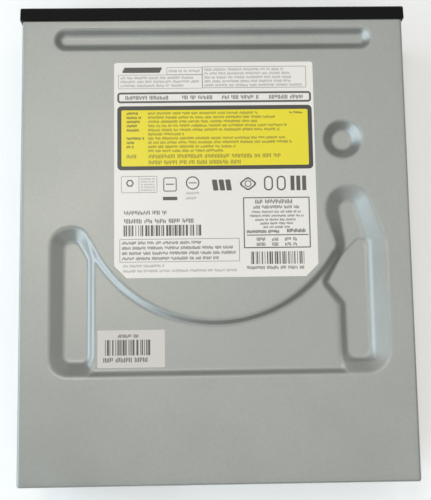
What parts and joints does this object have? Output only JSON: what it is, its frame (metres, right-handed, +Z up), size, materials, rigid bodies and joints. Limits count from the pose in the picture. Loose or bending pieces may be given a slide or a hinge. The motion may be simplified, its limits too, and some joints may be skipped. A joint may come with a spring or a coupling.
{
  "type": "internal 5.25-inch optical disc drive",
  "caption": "Half-height internal optical disc drive with a steel case, black front panel, motorised disc tray and a tilting disc mechanism with a laser pickup.",
  "frame": {"origin": "middle of the drive's outline in X and Y, on the plane of the front panel's bottom edge", "axes": "+X to the right of a user who faces the front panel, +Y from the front panel towards the rear, +Z up"},
  "size_m": [0.148, 0.18, 0.0423],
  "materials": {
    "bare_steel": "cold-rolled plated sheet, satin",
    "bezel_plastic": "black, fine moulded texture",
    "board_laminate": "green solder mask over glass laminate",
    "bright_steel": "ground and polished",
    "cap_can": "bare can",
    "chip_plastic": "black moulding compound",
    "clear_plastic": "clear light guide",
    "connector_plastic": "black nylon",
    "dark_gear_plastic": "dark acetal",
    "die_cast": "die-cast, as moulded",
    "frame_plastic": "black glass-filled",
    "galvanised_steel": "hot-dip galvanised sheet, fine grain, dull",
    "gear_plastic": "natural acetal",
    "gold_contact": "gold flashed",
    "grommet_rubber": "soft damping rubber, dark red",
    "label_paper": "coated label stock, slight gloss",
    "lens_glass": "coated lens",
    "lens_plastic": "black liquid crystal polymer",
    "lift_plastic": "dark grey",
    "magnet": "sintered magnet, dark",
    "ribbon_film": "amber polyimide film",
    "rubber": "soft black rubber",
    "screw_steel": "zinc plated",
    "socket_plastic": "cream nylon",
    "tray_plastic": "black, smooth moulded",
    "winding": "enamelled copper windings on a laminated core"
  },
  "bodies": {
    "chassis": {"top_cover": "galvanised_steel", "bottom_cover": "galvanised_steel", "cover_screws": "screw_steel", "product_label": "label_paper", "serial_sticker": "label_paper", "front_bezel": "bezel_plastic", "drive_belt": "rubber", "loading_motor": "bare_steel", "motor_screws": "screw_steel", "loader_frame": "frame_plastic", "clamper_bridge": "bare_steel", "bridge_screws": "screw_steel", "main_board": "board_laminate", "board_screws": "screw_steel", "chips": "chip_plastic", "capacitors": "cap_can", "ribbon_sockets": "socket_plastic", "sata_connector": "connector_plastic", "sata_contacts": "gold_contact", "front_board": "board_laminate", "eject_switch": "connector_plastic", "status_led": "clear_plastic", "light_pipe": "clear_plastic", "front_ribbon": "ribbon_film"},
    "disc_tray": {"tray": "tray_plastic", "tray_door": "bezel_plastic"},
    "pinion": {"tray_pinion": "gear_plastic"},
    "idler": {"idler_gear": "gear_plastic"},
    "pulley": {"pulley_gear": "gear_plastic"},
    "motor_shaft_pulley": {"motor_pulley": "dark_gear_plastic"},
    "button": {"eject_button": "bezel_plastic"},
    "cam": {"cam_slider": "gear_plastic"},
    "mechanism": {"lift_frame": "lift_plastic", "dampers": "grommet_rubber", "damper_screws": "screw_steel", "base_plate": "bare_steel", "spindle_base": "bare_steel", "spindle_screws": "screw_steel", "spindle_bearing": "gold_contact", "spindle_stator": "winding", "guide_rods": "bright_steel", "rod_clips": "lift_plastic", "sled_motor": "bare_steel", "sled_bracket": "bare_steel", "pickup_ribbon": "ribbon_film"},
    "spindle": {"rotor_cup": "bare_steel", "rotor_magnet": "magnet", "turntable": "dark_gear_plastic", "hub_magnet": "magnet", "turntable_pad": "rubber"},
    "disc_clamper": {"clamper": "dark_gear_plastic", "clamper_yoke": "bare_steel"},
    "sled": {"pickup_body": "die_cast", "pickup_cover": "bare_steel", "actuator_magnets": "magnet", "rack_follower": "gear_plastic"},
    "sled_screw": {"lead_screw": "bright_steel"},
    "lens": {"lens_holder": "lens_plastic", "objective_lens": "lens_glass"}
  },
  "joints": [
    {"name": "tray_slide", "type": "slide", "parent": "chassis", "child": "disc_tray", "axis": [0, -1, 0], "range_m": [0, 0.14]},
    {"name": "pinion_spin", "type": "hinge", "parent": "chassis", "child": "pinion", "pos_m": [0.04, -0.066, 0.0218], "axis": [0, 0, 1], "range_deg": [-617.5, 0]},
    {"name": "idler_spin", "type": "hinge", "parent": "chassis", "child": "idler", "pos_m": [0.02, -0.066, 0.0178], "axis": [0, 0, 1], "range_deg": [0, 1146.4]},
    {"name": "pulley_spin", "type": "hinge", "parent": "chassis", "child": "pulley", "pos_m": [-0.001, -0.066, 0.0178], "axis": [0, 0, 1], "range_deg": [-2292.3, 0]},
    {"name": "motor_spin", "type": "hinge", "parent": "chassis", "child": "motor_shaft_pulley", "pos_m": [-0.031, -0.067, 0.02], "axis": [0, 0, 1], "range_deg": [-8266.1, 0]},
    {"name": "eject_press", "type": "slide", "parent": "chassis", "child": "button", "axis": [0, 1, 0], "range_m": [0, 0.0008], "stiffness_N_per_m": 300, "springref_m": -0.0002},
    {"name": "mechanism_tilt", "type": "hinge", "parent": "chassis", "child": "mechanism", "pos_m": [0, 0.062, 0.0163], "axis": [1, 0, 0], "range_deg": [0, 5]},
    {"name": "cam_slide", "type": "slide", "parent": "chassis", "child": "cam", "axis": [1, 0, 0], "range_m": [0, 0.02401]},
    {"name": "spindle_spin", "type": "hinge", "parent": "mechanism", "child": "spindle", "pos_m": [0, -0.02, 0.022], "axis": [0, 0, 1], "continuous": true},
    {"name": "clamper_spin", "type": "hinge", "parent": "chassis", "child": "disc_clamper", "pos_m": [0, -0.02, 0.034], "axis": [0, 0, 1], "continuous": true},
    {"name": "sled_slide", "type": "slide", "parent": "mechanism", "child": "sled", "axis": [0, 1, 0], "range_m": [0, 0.034]},
    {"name": "sled_screw_spin", "type": "hinge", "parent": "mechanism", "child": "sled_screw", "pos_m": [-0.0355, 0.022, 0.021], "axis": [0, 1, 0], "range_deg": [-4081, 0]},
    {"name": "lens_focus", "type": "slide", "parent": "sled", "child": "lens", "axis": [0, 0, 1], "range_m": [-0.0004, 0.0004], "stiffness_N_per_m": 60, "springref_m": 0.00007}
  ],
  "couplings": [
    {"joint": "pinion_spin", "follows": "tray_slide", "rad_per_m": -76.923},
    {"joint": "idler_spin", "follows": "tray_slide", "rad_per_m": 142.86},
    {"joint": "pulley_spin", "follows": "tray_slide", "rad_per_m": -285.71},
    {"joint": "motor_spin", "follows": "tray_slide", "rad_per_m": -1030.4},
    {"joint": "cam_slide", "follows": "mechanism_tilt", "m_per_rad": 0.27502},
    {"joint": "clamper_spin", "follows": "spindle_spin", "ratio": 1},
    {"joint": "sled_screw_spin", "follows": "sled_slide", "rad_per_m": -2094.4}
  ]
}
